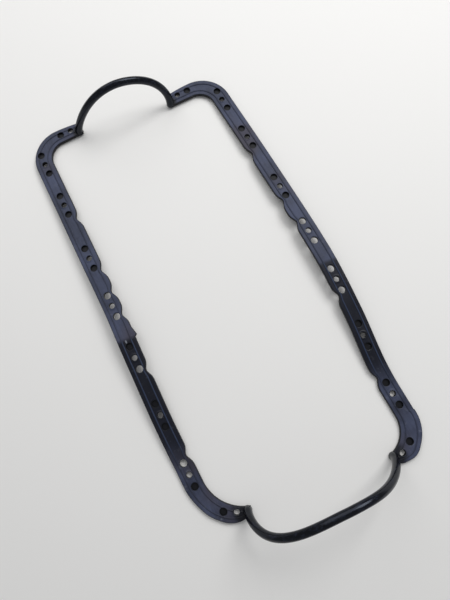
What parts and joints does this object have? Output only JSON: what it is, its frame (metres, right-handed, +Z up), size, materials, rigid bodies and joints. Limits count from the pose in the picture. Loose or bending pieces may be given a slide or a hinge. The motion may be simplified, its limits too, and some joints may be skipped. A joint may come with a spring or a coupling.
{
  "type": "oil pan gasket",
  "caption": "One-piece moulded rubber oil pan gasket: two flat flanges with bolt holes joined by a half-round seal at each end.",
  "frame": {"origin": "middle of the gasket's outline, at the height of the surface that it lies on", "axes": "+X along the crankcase towards the larger seal, +Y across it, +Z up, the way the seals stand"},
  "size_m": [0.5274, 0.2634, 0.0853],
  "materials": {
    "rubber": "satin"
  },
  "bodies": {
    "root": {"gasket": "rubber"}
  },
  "joints": []
}
